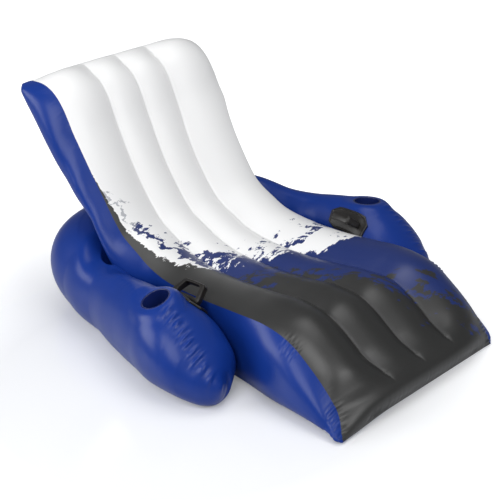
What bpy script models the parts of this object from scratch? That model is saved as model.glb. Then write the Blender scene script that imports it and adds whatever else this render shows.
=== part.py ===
"""Inflatable pool chair: a ribbed recliner chamber held inside a U-shaped arm chamber.

Units are metres. -Y is the foot end and +Z is up. Left and right are as seen from the foot end, so +X is
right. Each welded vinyl panel is its own shell. The two chambers are first drawn as closed surfaces, and
their panels are cut from those.
"""

import math

import bmesh
import bpy
from mathutils import Matrix, Vector
from mathutils.bvhtree import BVHTree

# Sheet, seams and running gaps
vinyl_wall = 0.003
seam_gap = 0.00045
fit_gap = 0.0003
web_thickness = 0.002

# Recliner chamber: its front edge lies this far from the chair's middle
front_place = -0.757
body_length = 1.54
body_height = 0.82
foot_half_width = 0.394
inner_flute_crown = 0.026
outer_flute_crown = 0.044
back_flute_crown = 0.022
foot_roll_depth = 0.030
side_bulge_depth = 0.052
dish_depth = 0.036

# Arm chamber
nose_place = -0.357
arm_depth = 0.93
arm_spread_width = 0.532
arm_half_width = 0.142
arm_half_height = 0.154
floor_press = 0.003

# Cup holders
cup_radius = 0.0480
cup_depth = 0.100
cup_wall = 0.0025
cup_rim_width = 0.0040
cup_rim_thickness = 0.0040
cup_foot_radius = 0.039
cup_land_width = 0.028
cup_flat_width = 0.003
cup_side_offset = 0.018
cup_setback = 0.290
cup_sink = 0.008

# Handles
patch_length = 0.180
patch_width = 0.090
patch_thickness = 0.0040
patch_rim_height = 0.0075
patch_rim_width = 0.0110
patch_chamfer = 0.030
patch_stand_off = 0.0009
grip_length = 0.120
grip_bar_length = 0.084
grip_height = 0.071
grip_width = 0.020
grip_bar_thickness = 0.011
grip_foot_thickness = 0.020
grip_base_thickness = 0.0120
grip_lean_share = 0.10

# Valves
valve_flange_radius = 0.022
valve_flange_thickness = 0.003
stem_radius = 0.0085
stem_bore_radius = 0.0052
stem_height = 0.015
boss_length = 0.008
flap_thickness = 0.0014
plug_radius = 0.0046
plug_length = 0.0100
cap_radius = 0.0100
cap_thickness = 0.0030
strap_width = 0.0060
strap_thickness = 0.0016
strap_stand_off = 0.0060
ring_radius = 0.0118
ring_thickness = 0.0020
hinge_radius = 0.0012

# Joining strips
strip_length = 0.24
strip_place = -0.097
strip_sheet = 0.0020
strip_lift = 0.030

# One cutter overrun serves every hole
cut_reach = 0.060

# Side seams of the recliner: places and heights as shares of body_length and body_height
top_seam_shares = [
    (0.000, 0.010), (0.019, 0.071), (0.055, 0.149), (0.104, 0.224), (0.162, 0.290), (0.234, 0.317),
    (0.325, 0.307), (0.429, 0.293), (0.539, 0.298), (0.617, 0.348), (0.675, 0.442), (0.727, 0.571),
    (0.779, 0.705), (0.825, 0.824), (0.870, 0.927), (0.929, 0.990), (1.000, 0.990),
]
back_seam_shares = [
    (0.000, 0.010), (0.019, 0.015), (0.058, 0.015), (0.110, 0.015), (0.169, 0.015), (0.240, 0.015),
    (0.325, 0.015), (0.422, 0.015), (0.519, 0.015), (0.604, 0.037), (0.675, 0.152), (0.734, 0.323),
    (0.789, 0.478), (0.860, 0.622), (0.929, 0.762), (0.981, 0.884), (1.000, 0.990),
]
# Values along the recliner as pairs of station share and share of the named size
top_width_shares = [(0.0, 1.0), (0.3, 0.975), (0.5, 0.93), (1.0, 0.93)]
back_width_shares = [
    (0.0, 1.0), (0.06, 1.04), (0.25, 1.035), (0.36, 0.965), (0.45, 0.91), (0.56, 0.80), (0.63, 0.67),
    (0.69, 0.67), (0.77, 0.93), (0.82, 0.95), (1.0, 0.93),
]
bulge_shares = [
    (0.0, 0.10), (0.04, 0.55), (0.12, 0.95), (0.20, 1.00), (0.29, 0.80), (0.38, 0.20), (0.56, 0.22),
    (0.64, 0.42), (0.69, 0.55), (0.76, 1.00), (0.84, 1.16), (0.96, 1.05), (1.0, 0.2),
]
dish_shares = [
    (0.0, 0.0), (0.06, -0.85), (0.12, -0.50), (0.25, -0.45), (0.31, 0.15), (0.4, 0.45), (0.5, 0.5),
    (0.6, 0.75), (0.69, 1.05), (0.76, 0.85), (0.84, 0.40), (0.93, 0.10), (1.0, 0.0),
]
seam_depth_shares = [(0.0, 0.0), (0.055, 0.0), (0.095, 1.0), (0.93, 1.0), (0.985, 0.0), (1.0, 0.0)]
roll_shares = [(0.0, 0.0), (0.04, 0.9), (0.12, 1.0), (0.85, 0.8), (0.96, 0.8), (1.0, 0.0)]
flute_seam_share = 0.415

# Arm path from nose tip to rear middle: side, place, height, half width and half height, as shares of
# arm_spread_width, arm_depth, arm_half_height, arm_half_width and arm_half_height
arm_path_shares = [
    (0.987, -0.001, 0.455, 0.085, 0.078), (0.996, 0.015, 0.481, 0.437, 0.377),
    (1.000, 0.049, 0.578, 0.711, 0.578), (0.996, 0.101, 0.721, 0.915, 0.727),
    (0.996, 0.170, 0.877, 1.007, 0.883), (1.000, 0.253, 0.987, 1.000, 0.987),
    (0.985, 0.339, 1.000, 0.859, 1.000), (0.959, 0.435, 0.974, 0.746, 0.974),
    (0.910, 0.543, 0.935, 0.718, 0.935), (0.838, 0.656, 0.942, 0.739, 0.942),
    (0.748, 0.804, 1.026, 0.944, 1.026), (0.536, 0.960, 1.117, 1.169, 1.117),
    (0.000, 1.027, 1.071, 1.127, 1.071),
]
seam_angle = math.radians(75)

# The left arm, at -1, lies rolled outwards a little more than the right one, at 1
handle_angle = {-1: math.radians(134), 1: math.radians(137)}
handle_station = {-1: 5.55, 1: 5.64}
cup_lean = {-1: (0.33, 0.19, 0.92), 1: (0.09, 0.08, 0.99)}

recliner_valve_share = 0.80
recliner_valve_across = -0.7075
arm_valve_station = 12.72
arm_valve_angle = math.radians(18.75)

# Counts
body_rows = 24
flute_columns = (5, 4, 4, 5)
side_columns = 4
arm_half_rows = 25
arm_columns = 16
round_segments = 32
small_segments = 16
patch_steps_along = 8
patch_steps_across = 6
grip_foot_steps = 8
strip_steps = 16

# Small steps for slopes and offsets, in control points or radians, and the sheets' cap at sharp corners
slope_step = 0.05
handle_step = 0.02
seam_slope_share = 0.25
corner_cap = 2.0
patch_taper = 0.75
web_gap = 2 * fit_gap
strip_gap = 3 * fit_gap
grip_gap = 3 * fit_gap
ring_gap = 2 * fit_gap

scene = bpy.context.scene


def clear_scene():
    """Removes what the start-up file holds, so that only the chair is left."""
    for old in list(bpy.data.objects):
        bpy.data.objects.remove(old, do_unlink=True)


def make_material(name, colour, roughness, metallic=0.0):
    """One Principled material of the given colour."""
    material = bpy.data.materials.new(name)
    material.use_nodes = True
    shader = material.node_tree.nodes["Principled BSDF"]
    shader.inputs["Base Color"].default_value = (*colour, 1.0)
    shader.inputs["Roughness"].default_value = roughness
    shader.inputs["Metallic"].default_value = metallic
    material.diffuse_color = (*colour, 1.0)
    return material


def object_from(name, mesh_maker, material, place=None):
    """Wraps a bmesh as a named object, at the given place matrix."""
    mesh = bpy.data.meshes.new(name)
    bmesh.ops.recalc_face_normals(mesh_maker, faces=mesh_maker.faces)
    bmesh.ops.triangulate(mesh_maker, faces=mesh_maker.faces)
    mesh_maker.to_mesh(mesh)
    mesh_maker.free()
    mesh.materials.append(material)
    piece = bpy.data.objects.new(name, mesh)
    scene.collection.objects.link(piece)
    if place is not None:
        piece.matrix_world = place
    return piece


def smooth_curve(points, station):
    """A point of the Catmull-Rom curve through the points, at a station counted in points."""
    last = len(points) - 1
    index = min(max(int(math.floor(station)), 0), last - 1)
    part = station - index
    p1, p2 = Vector(points[index]), Vector(points[index + 1])
    p0 = Vector(points[index - 1]) if index > 0 else 2 * p1 - p2
    p3 = Vector(points[index + 2]) if index + 2 <= last else 2 * p2 - p1
    bend = (2 * p0 - 5 * p1 + 4 * p2 - p3) * part * part
    twist = (3 * p1 - p0 - 3 * p2 + p3) * part * part * part
    return 0.5 * (2 * p1 + (p2 - p0) * part + bend + twist)


def share_at(pairs, share):
    """The value at a share of the length, eased between neighbouring pairs."""
    for (start, low), (end, high) in zip(pairs, pairs[1:]):
        if share <= end:
            part = (share - start) / (end - start)
            ease = part * part * (3 - 2 * part)
            return low + (high - low) * ease
    return pairs[-1][1]


# Recliner chamber


def seam_point(shares, share):
    """Place and height of a side seam at a share of the recliner's stations."""
    place, height = smooth_curve([(*pair, 0) for pair in shares], share * (len(shares) - 1)).xy
    return front_place + place * body_length, height * body_height


def seam_normal(shares, share):
    """The unit normal of a side seam, in its own upright plane, turned a quarter from its direction."""
    step = seam_slope_share / (len(shares) - 1)
    y0, z0 = seam_point(shares, max(share - step, 0.0))
    y1, z1 = seam_point(shares, min(share + step, 1.0))
    reach = math.hypot(y1 - y0, z1 - z0)
    return -(z1 - z0) / reach, (y1 - y0) / reach


def flute_height(across, crowns):
    """Crown of the flute that holds this across share, with sharp valleys at the seams."""
    ribs = [-1.0, -flute_seam_share, 0.0, flute_seam_share, 1.0]
    for start, end, crown in zip(ribs, ribs[1:], crowns):
        if across <= end:
            part = (across - start) / (end - start)
            return crown * 4 * part * (1 - part)
    return 0.0


def top_point(share, across):
    """A point of the lying surface: across runs from -1 to 1 between the side seams."""
    y, z = seam_point(top_seam_shares, share)
    ny, nz = seam_normal(top_seam_shares, share)
    depth = share_at(seam_depth_shares, share)
    crowns = (outer_flute_crown, inner_flute_crown, inner_flute_crown, outer_flute_crown)
    flutes = flute_height(across, crowns) * depth * share_at(roll_shares, share)
    roll = foot_roll_depth * share_at(roll_shares, share) * (1 - depth) * (1 - across**4)
    outside = max(abs(across) - flute_seam_share, 0.0) / (1 - flute_seam_share)
    dish = dish_depth * share_at(dish_shares, share) * (1 - outside * outside)
    rise = flutes + roll - dish
    width = foot_half_width * share_at(top_width_shares, share)
    return Vector((width * across, y + ny * rise, z + nz * rise))


def back_point(share, across):
    """A point of the underside and back, with its crowns pressed flat on the floor."""
    y, z = seam_point(back_seam_shares, share)
    ny, nz = seam_normal(back_seam_shares, share)
    crowns = (back_flute_crown,) * 4
    rise = flute_height(across, crowns) * share_at(seam_depth_shares, share)
    width = foot_half_width * share_at(back_width_shares, share)
    return Vector((width * across, y - ny * rise, max(z - nz * rise, 0.0)))


def side_point(share, down, side):
    """A point of a side panel: down runs from the lying surface's seam to the underside's."""
    top, low = top_point(share, side), back_point(share, side)
    bulge = side_bulge_depth * share_at(bulge_shares, share) * (1 - abs(2 * down - 1) ** 3)
    return top.lerp(low, down) + Vector((side * bulge, 0, 0))


def across_shares():
    """Column places of the ribbed panels, even within each flute."""
    ribs = [-1.0, -flute_seam_share, 0.0, flute_seam_share, 1.0]
    places = [-1.0]
    for start, end, count in zip(ribs, ribs[1:], flute_columns):
        places += [start + (end - start) * (k + 1) / count for k in range(count)]
    return places


def recliner_surface():
    """The recliner chamber as one closed surface, with each face tagged by its panel's number."""
    surface = bmesh.new()
    tag = surface.faces.layers.int.new("panel")
    places = across_shares()
    rows = [row / body_rows for row in range(body_rows + 1)]
    top = [[surface.verts.new(top_point(share, a)) for a in places] for share in rows]
    back = [[surface.verts.new(back_point(share, a)) for a in places] for share in rows[1:-1]]
    back = [top[0], *back, top[-1]]

    def add(corners, panel):
        loop = []
        for corner in corners:
            if corner not in loop:
                loop.append(corner)
        surface.faces.new(loop)[tag] = panel

    for i in range(body_rows):
        for j in range(len(places) - 1):
            add((top[i][j], top[i][j + 1], top[i + 1][j + 1], top[i + 1][j]), 0)
            add((back[i][j], back[i + 1][j], back[i + 1][j + 1], back[i][j + 1]), 1)
    for side, edge, panel in ((-1, 0, 2), (1, -1, 3)):
        columns = []
        for i, share in enumerate(rows):
            inside = [side_point(share, k / side_columns, side) for k in range(1, side_columns)]
            if 0 < i < body_rows:
                made = [surface.verts.new(point) for point in inside]
            else:
                made = [top[i][edge]] * (side_columns - 1)
            columns.append([top[i][edge], *made, back[i][edge]])
        for i in range(body_rows):
            for k in range(side_columns):
                corners = [columns[i][k], columns[i + 1][k], columns[i + 1][k + 1], columns[i][k + 1]]
                add(corners if side < 0 else corners[::-1], panel)
    return finished(surface), top, back


def finished(surface):
    """A closed surface in flat triangles, facing out."""
    bmesh.ops.triangulate(surface, faces=surface.faces)
    bmesh.ops.recalc_face_normals(surface, faces=surface.faces)
    surface.normal_update()
    return surface


# Arm chamber


def arm_controls():
    """Control points of the whole U: side, place, height, half width and half height."""
    half = []
    for x, y, z, wide, high in arm_path_shares:
        sizes = (wide * arm_half_width, high * arm_half_height)
        half.append((x * arm_spread_width, nose_place + y * arm_depth, z * arm_half_height, *sizes))
    return [(-x, *rest) for x, *rest in half] + half[-2::-1]


arm_path = arm_controls()


def arm_section(station):
    """Centre, outward direction and half sizes of the arm tube at a station, in control points."""
    centre = smooth_curve([row[:3] for row in arm_path], station)
    sizes = smooth_curve([(row[3], row[4], 0) for row in arm_path], station)
    before = smooth_curve([row[:3] for row in arm_path], max(station - slope_step, 0))
    after = smooth_curve([row[:3] for row in arm_path], min(station + slope_step, len(arm_path) - 1))
    ahead = (after - before).to_2d().normalized()
    outward = Vector((-ahead.y, ahead.x, 0))
    return centre, outward, sizes.x, sizes.y


def cup_frame(side):
    """Matrix whose Z is a cup holder's axis and whose origin is the middle of its rim."""
    lean = Vector(cup_lean[side]).normalized()
    axis = Vector((side * lean.x, lean.y, lean.z))
    turn = Vector((0, 0, 1)).rotation_difference(axis).to_matrix().to_4x4()
    out, place = arm_spread_width + cup_side_offset, nose_place + cup_setback
    return Matrix.Translation((side * out, place, 2 * arm_half_height - cup_sink)) @ turn


def landed(point):
    """Pulls the arm's skin onto the flat land round each cup holder."""
    for side in (-1, 1):
        local = cup_frame(side).inverted() @ point
        reach = math.hypot(local.x, local.y)
        edge = cup_radius + cup_rim_width + cup_flat_width
        if local.z > -cup_depth / 2 and reach < edge + cup_land_width:
            part = min(max((edge + cup_land_width - reach) / cup_land_width, 0.0), 1.0)
            local.z *= 1 - part * part * (3 - 2 * part)
            return cup_frame(side) @ local
    return point


def arm_point(station, angle):
    """A point of the arm's skin: angle is measured from outward, over the top, to inward."""
    centre, outward, half_width, half_height = arm_section(station)
    point = centre + outward * (half_width * math.cos(angle)) + Vector((0, 0, half_height * math.sin(angle)))
    point.z = max(point.z - floor_press, 0.0)
    return landed(point)


def arm_surface():
    """The arm chamber as one closed surface, with its faces tagged 0 outside and 1 inside the seams."""
    surface = bmesh.new()
    tag = surface.faces.layers.int.new("panel")
    row_count = 2 * arm_half_rows
    last = len(arm_path) - 1
    rings = []
    for row in range(1, row_count):
        station = last * row / row_count
        angles = [seam_angle - math.pi + 2 * math.pi * k / arm_columns for k in range(arm_columns)]
        rings.append([surface.verts.new(arm_point(station, angle)) for angle in angles])
    for ring, station, ahead in ((rings[0], 0, 1), (rings[-1], last, -1)):
        centre = arm_section(station)[0]
        tip = surface.verts.new(centre)
        for k in range(arm_columns):
            corners = [tip, ring[k], ring[(k + 1) % arm_columns]][::ahead]
            surface.faces.new(corners)[tag] = int(k >= arm_columns / 2)
    for low, high in zip(rings, rings[1:]):
        for k in range(arm_columns):
            nxt = (k + 1) % arm_columns
            surface.faces.new((low[k], high[k], high[nxt], low[nxt]))[tag] = int(k >= arm_columns / 2)
    return finished(surface)


# Panels, webs and strips


def inner_point(vertex):
    """The inside of the sheet under a vertex of a chamber's surface."""
    return vertex.co - vertex.normal * vinyl_wall * min(vertex.calc_shell_factor(), corner_cap)


def panel_from(surface, number, name, material):
    """One welded panel: the tagged faces thickened inwards, set back from the seams by half a gap."""
    tag = surface.faces.layers.int["panel"]
    faces = [face for face in surface.faces if face[tag] == number]
    verts = {v for face in faces for v in face.verts}
    outer, inner = {}, {}
    panel = bmesh.new()
    for v in verts:
        own = [face for face in v.link_faces if face[tag] == number]
        shift = Vector()
        if len(own) < len(v.link_faces):
            middle = sum((face.calc_center_median() for face in own), Vector()) / len(own)
            shift = (middle - v.co).normalized() * seam_gap / 2
        outer[v] = panel.verts.new(v.co + shift)
        inner[v] = panel.verts.new(inner_point(v) + shift)
    for face in faces:
        panel.faces.new([outer[v] for v in face.verts])
        panel.faces.new([inner[v] for v in reversed(face.verts)])
        for edge in face.edges:
            if any(other[tag] != number for other in edge.link_faces):
                a, b = edge.verts
                panel.faces.new((outer[a], outer[b], inner[b], inner[a]))
    return object_from(name, panel, material)


def skin_below(tree, point, normal, reach):
    """Where a line that comes in along a normal meets a chamber's facets."""
    return tree.ray_cast(point + normal * reach, -normal)[0]


def tension_web(name, column, top, back, material):
    """A sheet that ties one pair of seams together inside the recliner."""
    web = bmesh.new()
    half = web_thickness / 2
    rails = []
    for i in range(1, body_rows):
        depth = share_at(seam_depth_shares, i / body_rows)
        if depth < 1:
            continue
        high, low = inner_point(top[i][column]), inner_point(back[i][column])
        along = (high - low).normalized()
        high, low = high - along * web_gap, low + along * web_gap
        corners = [high + Vector((half, 0, 0)), high - Vector((half, 0, 0))]
        corners += [low - Vector((half, 0, 0)), low + Vector((half, 0, 0))]
        rails.append([web.verts.new(corner) for corner in corners])
    for first, second in zip(rails, rails[1:]):
        for k in range(4):
            nxt = (k + 1) % 4
            web.faces.new((first[k], first[nxt], second[nxt], second[k]))
    web.faces.new(rails[0])
    web.faces.new(rails[-1][::-1])
    return object_from(name, web, material)


# Turned and swept shapes


def lathe(profile, segments):
    """Turns a closed profile of radius and height pairs about Z."""
    turned = bmesh.new()
    rings = []
    for radius, height in profile:
        if radius == 0:
            rings.append([turned.verts.new((0, 0, height))])
        else:
            angles = [2 * math.pi * k / segments for k in range(segments)]
            ring = [(radius * math.cos(a), radius * math.sin(a), height) for a in angles]
            rings.append([turned.verts.new(corner) for corner in ring])
    for low, high in zip(rings, rings[1:] + rings[:1]):
        if len(low) == len(high) == 1:
            continue
        for k in range(segments):
            nxt = (k + 1) % segments
            corners = [low[k % len(low)], low[nxt % len(low)], high[nxt % len(high)], high[k % len(high)]]
            loop = [corner for n, corner in enumerate(corners) if corner not in corners[:n]]
            if len(loop) > 2:
                turned.faces.new(loop)
    return turned


def hidden_cutter(name, maker, place):
    """A helper solid for Boolean cuts, left out of renders."""
    mesh = bpy.data.meshes.new(name)
    bmesh.ops.recalc_face_normals(maker, faces=maker.faces)
    maker.to_mesh(mesh)
    maker.free()
    cutter = bpy.data.objects.new(name, mesh)
    scene.collection.objects.link(cutter)
    cutter.matrix_world = place
    cutter.hide_render = True
    cutter.display_type = "WIRE"
    return cutter


def cut_hole(piece, cutter):
    """Takes the cutter's volume out of the piece."""
    cut = piece.modifiers.new("hole " + cutter.name, "BOOLEAN")
    cut.operation = "DIFFERENCE"
    cut.solver = "EXACT"
    cut.object = cutter


def cup_holder(side, name, material):
    """An open tapered cup with a flat rim, welded into the arm's skin."""
    rim = cup_radius + cup_rim_width
    outer = cup_radius + cup_wall
    foot = cup_foot_radius + cup_wall
    bead = cup_rim_thickness / 4
    profile = [
        (0, -cup_depth), (cup_foot_radius - bead, -cup_depth), (cup_foot_radius, bead - cup_depth),
        (cup_radius, -bead), (cup_radius + bead, 0), (rim - bead, 0), (rim, -bead), (rim, -cup_rim_thickness),
        (outer, -cup_rim_thickness), (foot, -cup_depth - cup_wall), (0, -cup_depth - cup_wall),
    ]
    return object_from(name, lathe(profile, round_segments), material, cup_frame(side))


def on_arm(tree, side, along, across, height):
    """A point over the arm's skin at a handle: along the arm, across it and off its facets."""
    station, turn = handle_station[side], handle_angle[side]
    if side > 0:
        station = len(arm_path) - 1 - station
    step = handle_step
    ahead = 1 if side < 0 else -1
    before, after = arm_point(station - step, turn), arm_point(station + step, turn)
    low, high = arm_point(station, turn - step), arm_point(station, turn + step)
    per_metre = 2 * step / (after - before).length
    turn_per_metre = 2 * step / (high - low).length
    here, angle = station + ahead * along * per_metre, turn + across * turn_per_metre
    point = arm_point(here, angle)
    tangent = arm_point(here + step, angle) - arm_point(here - step, angle)
    around = arm_point(here, angle + step) - arm_point(here, angle - step)
    normal = tangent.cross(around).normalized()
    if normal.z < 0:
        normal.negate()
    skin = skin_below(tree, point, normal, patch_width)
    return point + normal * (height + max((skin - point).dot(normal), 0.0))


def spread(count):
    """Even places from -1 to 1."""
    return [2 * k / count - 1 for k in range(count + 1)]


def handle_patch(tree, side, name, material):
    """The octagonal patch under a grip: it follows the arm and has a raised, bevelled rim."""
    maker = bmesh.new()
    half_length, half_width = patch_length / 2, patch_width / 2
    rings_in = [0, patch_rim_width / 4, 3 * patch_rim_width / 4, patch_rim_width]
    rises = [patch_thickness / 2, patch_rim_height, patch_rim_height, patch_thickness]
    inner_length = half_length - patch_rim_width
    alongs = [-half_length + ring for ring in rings_in[:-1]]
    alongs += [s * inner_length for s in spread(patch_steps_along)]
    alongs += [half_length - ring for ring in rings_in[-2::-1]]
    inner_width = half_width - patch_rim_width
    acrosses = [-half_width + ring for ring in rings_in[:-1]]
    acrosses += [s * inner_width for s in spread(patch_steps_across)]
    acrosses += [half_width - ring for ring in rings_in[-2::-1]]

    def rise(depth):
        for (d0, h0), (d1, h1) in zip(zip(rings_in, rises), zip(rings_in[1:], rises[1:])):
            if depth <= d1:
                return h0 + (h1 - h0) * (depth - d0) / (d1 - d0)
        return patch_thickness

    upper, lower = [], []
    for along in alongs:
        taper = max(abs(along) - (half_length - patch_chamfer), 0.0)
        narrow = (half_width - taper * patch_taper) / half_width
        top_row, low_row = [], []
        for across in acrosses:
            depth = min(half_length - abs(along), half_width - abs(across))
            place = (along, across * narrow)
            top_row.append(maker.verts.new(on_arm(tree, side, *place, rise(depth) + patch_stand_off)))
            low_row.append(maker.verts.new(on_arm(tree, side, *place, patch_stand_off)))
        upper.append(top_row)
        lower.append(low_row)
    rows, columns = len(alongs) - 1, len(acrosses) - 1
    for i in range(rows):
        for j in range(columns):
            maker.faces.new((upper[i][j], upper[i][j + 1], upper[i + 1][j + 1], upper[i + 1][j]))
            maker.faces.new((lower[i][j], lower[i + 1][j], lower[i + 1][j + 1], lower[i][j + 1]))
    for i in range(rows):
        maker.faces.new((upper[i][0], upper[i + 1][0], lower[i + 1][0], lower[i][0]))
        maker.faces.new((upper[i][-1], lower[i][-1], lower[i + 1][-1], upper[i + 1][-1]))
    for j in range(columns):
        maker.faces.new((upper[0][j], lower[0][j], lower[0][j + 1], upper[0][j + 1]))
        maker.faces.new((upper[-1][j], upper[-1][j + 1], lower[-1][j + 1], lower[-1][j]))
    return object_from(name, maker, material)


def handle_grip(tree, side, name, material):
    """A moulded loop: a base strip on the patch, two legs that thin upwards and a bar for the fingers."""
    maker = bmesh.new()
    floor = patch_stand_off + patch_thickness + grip_gap
    half_foot, half_bar, half_wide = grip_length / 2, grip_bar_length / 2, grip_width / 2
    base_top = floor + grip_base_thickness
    inner_bar = grip_height - grip_bar_thickness
    corner = grip_bar_thickness / 2
    leg = half_foot - grip_foot_thickness
    inner_half = half_bar - grip_bar_thickness

    def arch(foot, foot_height, bar, bar_height):
        """One side of the loop, from its right foot over the bar to its left foot."""
        right = [(foot, foot_height), (bar, bar_height - corner), (bar - corner, bar_height)]
        return right + [(0, bar_height)] + [(-along, height) for along, height in right[::-1]]

    outer = [(part * half_foot, floor) for part in spread(grip_foot_steps)]
    outer += arch(half_foot, base_top, half_bar, grip_height)
    inner = [(part * leg, base_top) for part in spread(grip_foot_steps)]
    inner += arch(leg, base_top + corner, inner_half, inner_bar)
    edge = grip_width / 6
    slices = [(-half_wide, edge / 2), (edge - half_wide, 0), (half_wide - edge, 0), (half_wide, edge / 2)]
    layers = []
    for across, inset in slices:
        layer = []
        for loop, sign in ((outer, 1), (inner, -1)):
            points = []
            for along, height in loop:
                shrunk = along * (1 - sign * inset / half_foot)
                lifted = height if height <= base_top else height - sign * inset
                leant = across + grip_lean_share * max(lifted - base_top, 0.0)
                points.append(maker.verts.new(on_arm(tree, side, shrunk, leant, lifted)))
            layer.append(points)
        layers.append(layer)
    count = len(outer)
    for low, high in zip(layers, layers[1:]):
        for loop in (0, 1):
            for k in range(count):
                nxt = (k + 1) % count
                maker.faces.new((low[loop][k], low[loop][nxt], high[loop][nxt], high[loop][k]))
    for layer in (layers[0], layers[-1]):
        for k in range(count):
            nxt = (k + 1) % count
            maker.faces.new((layer[0][k], layer[0][nxt], layer[1][nxt], layer[1][k]))
    return object_from(name, maker, material)


# Valves


def surface_frame(point, normal):
    """Matrix with its origin on a skin, Z along the outward normal and X level."""
    z_axis = normal.normalized()
    x_axis = Vector((0, 0, 1)).cross(z_axis).normalized()
    frame = Matrix((x_axis, z_axis.cross(x_axis), z_axis)).transposed().to_4x4()
    frame.translation = point
    return frame


def back_frame(tree, share, across):
    """Frame on the recliner's back, at a share of its length and an across share."""
    ny, nz = seam_normal(back_seam_shares, share)
    normal = Vector((0, -ny, -nz))
    return surface_frame(skin_below(tree, back_point(share, across), normal, valve_flange_radius), normal)


def arm_frame(tree, station, angle):
    """Frame on the arm's skin, at a station and an angle from outward over the top."""
    outward, half_width, half_height = arm_section(station)[1:]
    normal = outward * (math.cos(angle) / half_width) + Vector((0, 0, math.sin(angle) / half_height))
    normal.normalize()
    return surface_frame(skin_below(tree, arm_point(station, angle), normal, valve_flange_radius), normal)


def valve_body(name, frame, material):
    """Flange, stem and inner boss of a blow-up valve, with its air bore."""
    lip = stem_radius / 8
    profile = [
        (stem_bore_radius, stem_height - lip), (stem_bore_radius + lip, stem_height),
        (stem_radius - lip, stem_height), (stem_radius, stem_height - lip),
        (stem_radius, valve_flange_thickness / 2), (valve_flange_radius - lip, valve_flange_thickness / 2),
        (valve_flange_radius, 0), (valve_flange_radius, -valve_flange_thickness / 2),
        (stem_radius + lip, -valve_flange_thickness / 2), (stem_radius + lip, -boss_length),
        (stem_bore_radius, -boss_length),
    ]
    return object_from(name, lathe(profile, small_segments * 2), material, frame)


def valve_flap(name, frame, material):
    """The check flap under the bore: a disc with a rolled hinge edge."""
    profile = [(0, -flap_thickness), (stem_radius, -flap_thickness), (stem_radius, 0), (0, 0)]
    disc = lathe(profile, small_segments)
    bmesh.ops.translate(disc, verts=disc.verts, vec=(-stem_radius - hinge_radius, 0, -hinge_radius / 4))
    place = frame @ Matrix.Translation((stem_radius + hinge_radius, 0, -boss_length - fit_gap))
    return object_from(name, disc, material, place)


def valve_plug(name, frame, material):
    """Cap and pin of the plug, with the strap that ends in a ring round the stem's foot."""
    cap_foot = stem_height + fit_gap
    pin_end = cap_foot - plug_length
    lip = cap_thickness / 4
    profile = [
        (0, pin_end), (plug_radius * 0.8, pin_end), (plug_radius, pin_end + lip), (plug_radius, cap_foot),
        (cap_radius, cap_foot), (cap_radius, cap_foot + cap_thickness - lip),
        (cap_radius - lip, cap_foot + cap_thickness), (0, cap_foot + cap_thickness),
    ]
    plug = object_from(name, lathe(profile, small_segments), material, frame)
    ring_foot = valve_flange_thickness / 2 + fit_gap
    ring_hole = stem_radius + ring_gap
    ring = lathe(
        [
            (ring_hole, ring_foot), (ring_radius, ring_foot), (ring_radius, ring_foot + ring_thickness),
            (ring_hole, ring_foot + ring_thickness),
        ],
        small_segments,
    )
    reach = ring_radius + strap_stand_off
    inner_reach = reach - strap_thickness
    sink = strap_thickness / 2
    half = strap_width / 2
    path = [
        (cap_radius - sink, cap_foot + cap_thickness - lip), (inner_reach, cap_foot + cap_thickness - lip),
        (reach, cap_foot), (reach, ring_foot + ring_thickness), (inner_reach, ring_foot + lip / 2),
        (ring_radius - sink, ring_foot + lip / 2), (ring_radius - sink, ring_foot + ring_thickness - lip / 2),
        (inner_reach - strap_thickness, ring_foot + ring_thickness - lip / 2),
        (inner_reach, ring_foot + ring_thickness + strap_thickness), (inner_reach, cap_foot),
        (inner_reach - strap_thickness, cap_foot + lip), (cap_radius - sink, cap_foot + lip),
    ]
    strap = bmesh.new()
    near = [strap.verts.new((along, -half, height)) for along, height in path]
    far = [strap.verts.new((along, half, height)) for along, height in path]
    for k in range(len(path)):
        nxt = (k + 1) % len(path)
        strap.faces.new((near[k], near[nxt], far[nxt], far[k]))
    strap.faces.new(near)
    strap.faces.new(far[::-1])
    for part, maker in (("ring", ring), ("strap", strap)):
        joined = plug.modifiers.new(part, "BOOLEAN")
        joined.operation = "UNION"
        joined.solver = "EXACT"
        joined.object = hidden_cutter(name + " " + part, maker, frame)
    return plug


def valve(prefix, frame, panel, material):
    """A whole valve, seated in a hole of its panel."""
    hole = lathe(
        [
            (0, -cut_reach / 4), (valve_flange_radius + fit_gap, -cut_reach / 4),
            (valve_flange_radius + fit_gap, cut_reach / 4), (0, cut_reach / 4),
        ],
        small_segments * 2,
    )
    cut_hole(panel, hidden_cutter(prefix + " hole", hole, frame))
    valve_body(prefix + "_body", frame, material)
    valve_flap(prefix + "_flap", frame, material)
    valve_plug(prefix + "_plug", frame, material)


def joining_strip(recliner_tree, arm_tree, side, name, material):
    """The welded strip that ties an arm to the recliner's side, low between the two chambers."""
    maker = bmesh.new()
    rails = []
    outward = Vector((side, 0, 0))
    for part in spread(strip_steps):
        place = strip_place + part * strip_length / 2
        corners = []
        for height in (strip_lift, strip_lift + strip_sheet):
            near = recliner_tree.ray_cast(Vector((side * arm_spread_width, place, height)), -outward)[0]
            far = arm_tree.ray_cast(near, outward)[0] - outward * strip_gap
            near = near + outward * strip_gap
            corners += [near, far] if height == strip_lift else [far, near]
        rails.append([maker.verts.new(corner) for corner in corners])
    for first, second in zip(rails, rails[1:]):
        for k in range(4):
            nxt = (k + 1) % 4
            maker.faces.new((first[k], first[nxt], second[nxt], second[k]))
    maker.faces.new(rails[0])
    maker.faces.new(rails[-1][::-1])
    return object_from(name, maker, material)


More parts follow.
